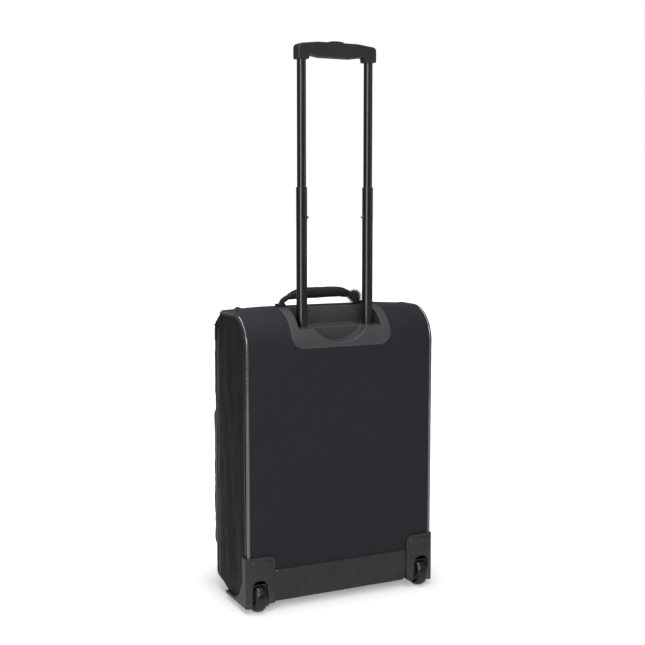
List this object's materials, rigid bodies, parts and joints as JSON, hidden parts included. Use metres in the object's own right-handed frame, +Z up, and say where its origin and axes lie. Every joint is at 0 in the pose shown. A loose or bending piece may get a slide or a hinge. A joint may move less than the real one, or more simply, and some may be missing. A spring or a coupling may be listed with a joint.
{
  "type": "softside upright suitcase",
  "caption": "Soft-sided wheeled cabin suitcase with a telescopic handle, rear wheels, zipped front lid with pockets and a top carry handle.",
  "frame": {"origin": "on the floor, under the middle of the whole object's footprint", "axes": "+Z up, +Y towards the back (handle and wheels), -Y towards the lid, +X to the right seen from the front"},
  "size_m": [0.3684, 0.2232, 0.9748],
  "materials": {
    "nylon": "fine plain-weave nylon, bluish black, slight sheen",
    "lining": "light woven lining cloth",
    "leatherette": "smooth grained vinyl, semi-gloss",
    "moulded_plastic": "fine textured injection moulding",
    "grip_plastic": "smooth satin moulding",
    "gloss_plastic": "polished moulding",
    "tube_metal": "gloss black anodised and lacquered aluminium tube",
    "steel": "plain zinc-plated steel",
    "tyre": "polyurethane tread",
    "zip": "coil zip on woven tape",
    "zip_metal": "black lacquered zinc casting",
    "webbing": "ribbed nylon webbing",
    "fur": "short synthetic pile"
  },
  "bodies": {
    "case": {"back_panel": "nylon", "base_screws": "steel", "bottom_panel": "nylon", "carry_handle_anchors": "moulded_plastic", "front_feet": "moulded_plastic", "handle_housing": "moulded_plastic", "kick_plate": "leatherette", "lining_panel": "lining", "outer_tube_left": "tube_metal", "outer_tube_right": "tube_metal", "packing_straps": "webbing", "piping_left": "leatherette", "piping_right": "leatherette", "side_panel_left": "nylon", "side_panel_right": "nylon", "top_panel": "nylon", "tube_bracket": "moulded_plastic", "tube_collars": "gloss_plastic", "tube_feet": "moulded_plastic", "wheel_axles": "steel", "wheel_housing_left": "moulded_plastic", "wheel_housing_right": "moulded_plastic", "zip_chain_case": "zip"},
    "lid": {"lid_gusset": "nylon", "lid_front_panel": "nylon", "zip_chain_lid": "zip", "pocket_main": "nylon", "pocket_upper": "nylon", "pocket_zip_chains": "zip"},
    "mid_stage": {"mid_tube_left": "tube_metal", "mid_tube_right": "tube_metal", "mid_collars": "gloss_plastic", "mid_plugs": "gloss_plastic", "lock_pin_tips": "steel"},
    "inner_stage": {"inner_tube_left": "tube_metal", "inner_tube_right": "tube_metal", "inner_plugs": "gloss_plastic", "grip_body": "grip_plastic", "grip_underside": "grip_plastic"},
    "release": {"release_button": "gloss_plastic", "release_yoke": "steel"},
    "lock_pin_left": {"lock_pin_left": "steel"},
    "lock_pin_right": {"lock_pin_right": "steel"},
    "wheel_left": {"wheel_tyre_left": "tyre", "wheel_hub_left": "gloss_plastic", "wheel_bearings_left": "steel"},
    "wheel_right": {"wheel_tyre_right": "tyre", "wheel_hub_right": "gloss_plastic", "wheel_bearings_right": "steel"},
    "carry_handle": {"carry_handle_strap": "webbing", "carry_handle_sleeve": "webbing", "pompom": "fur"},
    "zip_slider_top": {"zip_slider_top": "zip_metal"},
    "zip_slider_side": {"zip_slider_side": "zip_metal"},
    "pocket_slider_main": {"pocket_slider_main": "zip_metal"},
    "pocket_slider_upper": {"pocket_slider_upper": "zip_metal"},
    "zip_pull_top": {"zip_pull_top": "zip_metal"},
    "zip_pull_side": {"zip_pull_side": "zip_metal"},
    "pocket_pull_main": {"pocket_pull_main": "zip_metal"},
    "pocket_pull_upper": {"pocket_pull_upper": "zip_metal"}
  },
  "joints": [
    {"name": "lid_hinge", "type": "hinge", "parent": "case", "child": "lid", "pos_m": [-0.1805, -0.0414, 0.26], "axis": [0, 0, -1], "range_deg": [0, 175]},
    {"name": "mid_slide", "type": "slide", "parent": "case", "child": "mid_stage", "axis": [0, 0, 1], "range_m": [-0.24, 0]},
    {"name": "inner_slide", "type": "slide", "parent": "mid_stage", "child": "inner_stage", "axis": [0, 0, 1], "range_m": [-0.213, 0]},
    {"name": "button_press", "type": "slide", "parent": "inner_stage", "child": "release", "axis": [0, 0, 1], "range_m": [-0.004, 0], "stiffness_N_per_m": 1500, "springref_m": 0.004},
    {"name": "lock_pin_left_slide", "type": "slide", "parent": "inner_stage", "child": "lock_pin_left", "axis": [-1, 0, 0], "range_m": [0, 0.0035]},
    {"name": "wheel_left_spin", "type": "hinge", "parent": "case", "child": "wheel_left", "pos_m": [-0.1595, 0.0866, 0.025], "axis": [1, 0, 0], "continuous": true},
    {"name": "lock_pin_right_slide", "type": "slide", "parent": "inner_stage", "child": "lock_pin_right", "axis": [1, 0, 0], "range_m": [0, 0.0035]},
    {"name": "wheel_right_spin", "type": "hinge", "parent": "case", "child": "wheel_right", "pos_m": [0.1595, 0.0866, 0.025], "axis": [1, 0, 0], "continuous": true},
    {"name": "carry_fold", "type": "hinge", "parent": "case", "child": "carry_handle", "pos_m": [0, 0.0046, 0.52], "axis": [1, 0, 0], "range_deg": [-5, 60]},
    {"name": "zip_top_slide", "type": "slide", "parent": "lid", "child": "zip_slider_top", "axis": [1, 0, 0], "range_m": [-0.28, 0]},
    {"name": "zip_top_pull_swing", "type": "hinge", "parent": "zip_slider_top", "child": "zip_pull_top", "pos_m": [0.14, -0.04373, 0.51422], "axis": [-1, 0, 0], "range_deg": [0, 170]},
    {"name": "zip_side_slide", "type": "slide", "parent": "lid", "child": "zip_slider_side", "axis": [0, 0, 1], "range_m": [-0.35, 0]},
    {"name": "zip_side_pull_swing", "type": "hinge", "parent": "zip_slider_side", "child": "zip_pull_side", "pos_m": [0.183, -0.0414, 0.486], "axis": [0, -1, 0], "range_deg": [0, 170]},
    {"name": "pocket_main_zip_slide", "type": "slide", "parent": "lid", "child": "pocket_slider_main", "axis": [1, 0, 0], "range_m": [-0.28, 0]},
    {"name": "pocket_main_pull_swing", "type": "hinge", "parent": "pocket_slider_main", "child": "pocket_pull_main", "pos_m": [0.14, -0.1104, 0.316], "axis": [-1, 0, 0], "range_deg": [0, 170]},
    {"name": "pocket_upper_zip_slide", "type": "slide", "parent": "lid", "child": "pocket_slider_upper", "axis": [1, 0, 0], "range_m": [-0.28, 0]},
    {"name": "pocket_upper_pull_swing", "type": "hinge", "parent": "pocket_slider_upper", "child": "pocket_pull_upper", "pos_m": [0.14, -0.1044, 0.432], "axis": [-1, 0, 0], "range_deg": [0, 170]}
  ],
  "couplings": [
    {"joint": "lock_pin_left_slide", "follows": "button_press", "ratio": -0.875},
    {"joint": "lock_pin_right_slide", "follows": "button_press", "ratio": -0.875}
  ]
}
